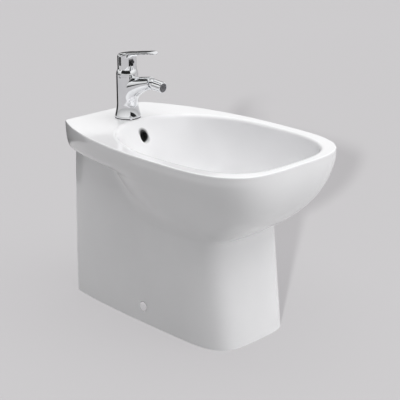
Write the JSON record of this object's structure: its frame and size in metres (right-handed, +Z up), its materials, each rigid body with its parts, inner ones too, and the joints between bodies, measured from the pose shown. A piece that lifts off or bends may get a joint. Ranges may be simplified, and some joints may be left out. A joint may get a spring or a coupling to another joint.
{
  "type": "bidet",
  "caption": "Floor-standing back-to-wall ceramic bidet with single-lever mixer, swivel spray nozzle, click waste and hidden side fixings.",
  "frame": {"origin": "centre of the bounding box on the floor plane, under the middle of the pan", "axes": "+X to the right when facing the wall, -Y to the front where the user sits, +Y to the wall, +Z up"},
  "size_m": [0.3684, 0.56, 0.5475],
  "materials": {
    "china": "glossy white glaze",
    "chrome": "polished chrome plate",
    "cap_chrome": "chrome-plated cap",
    "brass": "turned brass",
    "zinc_steel": "zinc-plated steel",
    "rubber": "black rubber",
    "nylon": "moulded white nylon",
    "dark_plastic": "grey plug",
    "disc_ceramic": "lapped ceramic"
  },
  "bodies": {
    "bidet": {"pan_foot": "china", "pan_bowl_front_left": "china", "pan_bowl_front_right": "china", "pan_bowl_rear_left": "china", "pan_bowl_rear_right": "china", "pan_rim_front_left": "china", "pan_rim_front_right": "china", "pan_rim_rear_left": "china", "pan_rim_rear_right": "china", "floor_bracket_left": "zinc_steel", "floor_bracket_right": "zinc_steel", "side_screw_nuts": "zinc_steel", "side_screw_sleeves": "nylon", "side_screws": "zinc_steel", "side_screw_caps": "cap_chrome", "mixer_body": "chrome", "chain_eyelet": "chrome", "base_gasket": "rubber", "cartridge_dome": "chrome", "cartridge_nut": "brass", "cartridge_seals": "rubber", "swivel_collar": "chrome", "horseshoe_seal": "rubber", "horseshoe_washer": "zinc_steel", "mixer_stud_nut": "brass", "mixer_stud": "zinc_steel", "cartridge_base": "nylon", "lower_ceramic_disc": "disc_ceramic", "cartridge_housing": "nylon", "waste_body": "chrome", "waste_upper_seal": "rubber", "waste_lower_seal": "rubber", "waste_washer": "nylon", "waste_nut": "brass", "click_unit": "brass"},
    "rotor": {"cartridge_rotor": "nylon", "stem_pin": "zinc_steel"},
    "disc": {"disc_carrier": "nylon", "upper_ceramic_disc": "disc_ceramic"},
    "lever": {"lever_stem": "zinc_steel", "lever_handle": "chrome", "handle_grub_screw": "zinc_steel", "handle_screw_plug": "dark_plastic"},
    "nozzle_seat": {"swivel_seat_ring": "nylon"},
    "nozzle": {"swivel_ball": "chrome", "nozzle_housing": "chrome", "aerator_washer": "rubber", "aerator_insert": "nylon"},
    "stopper": {"stopper_cap": "chrome", "stopper_stem": "brass", "stopper_seal": "rubber"}
  },
  "joints": [
    {"name": "lever_turn", "type": "hinge", "parent": "bidet", "child": "rotor", "pos_m": [0, 0.202, 0.488], "axis": [0, 0, 1], "range_deg": [-45, 45]},
    {"name": "lever_lift", "type": "hinge", "parent": "rotor", "child": "lever", "pos_m": [0, 0.202, 0.488], "axis": [-1, 0, 0], "range_deg": [0, 25]},
    {"name": "disc_slide", "type": "slide", "parent": "rotor", "child": "disc", "axis": [0, -1, 0], "range_m": [0, 0.006]},
    {"name": "nozzle_spin", "type": "hinge", "parent": "bidet", "child": "nozzle_seat", "pos_m": [0, 0.12903, 0.48035], "axis": [0, -0.9848, 0.1736], "continuous": true},
    {"name": "nozzle_tilt", "type": "hinge", "parent": "nozzle_seat", "child": "nozzle", "pos_m": [0, 0.12903, 0.48035], "axis": [1, 0, 0], "range_deg": [-40, 12]},
    {"name": "stopper_lift", "type": "slide", "parent": "bidet", "child": "stopper", "axis": [0, 0, 1], "range_m": [0, 0.008]}
  ],
  "couplings": [
    {"joint": "disc_slide", "follows": "lever_lift", "m_per_rad": 0.01352}
  ]
}
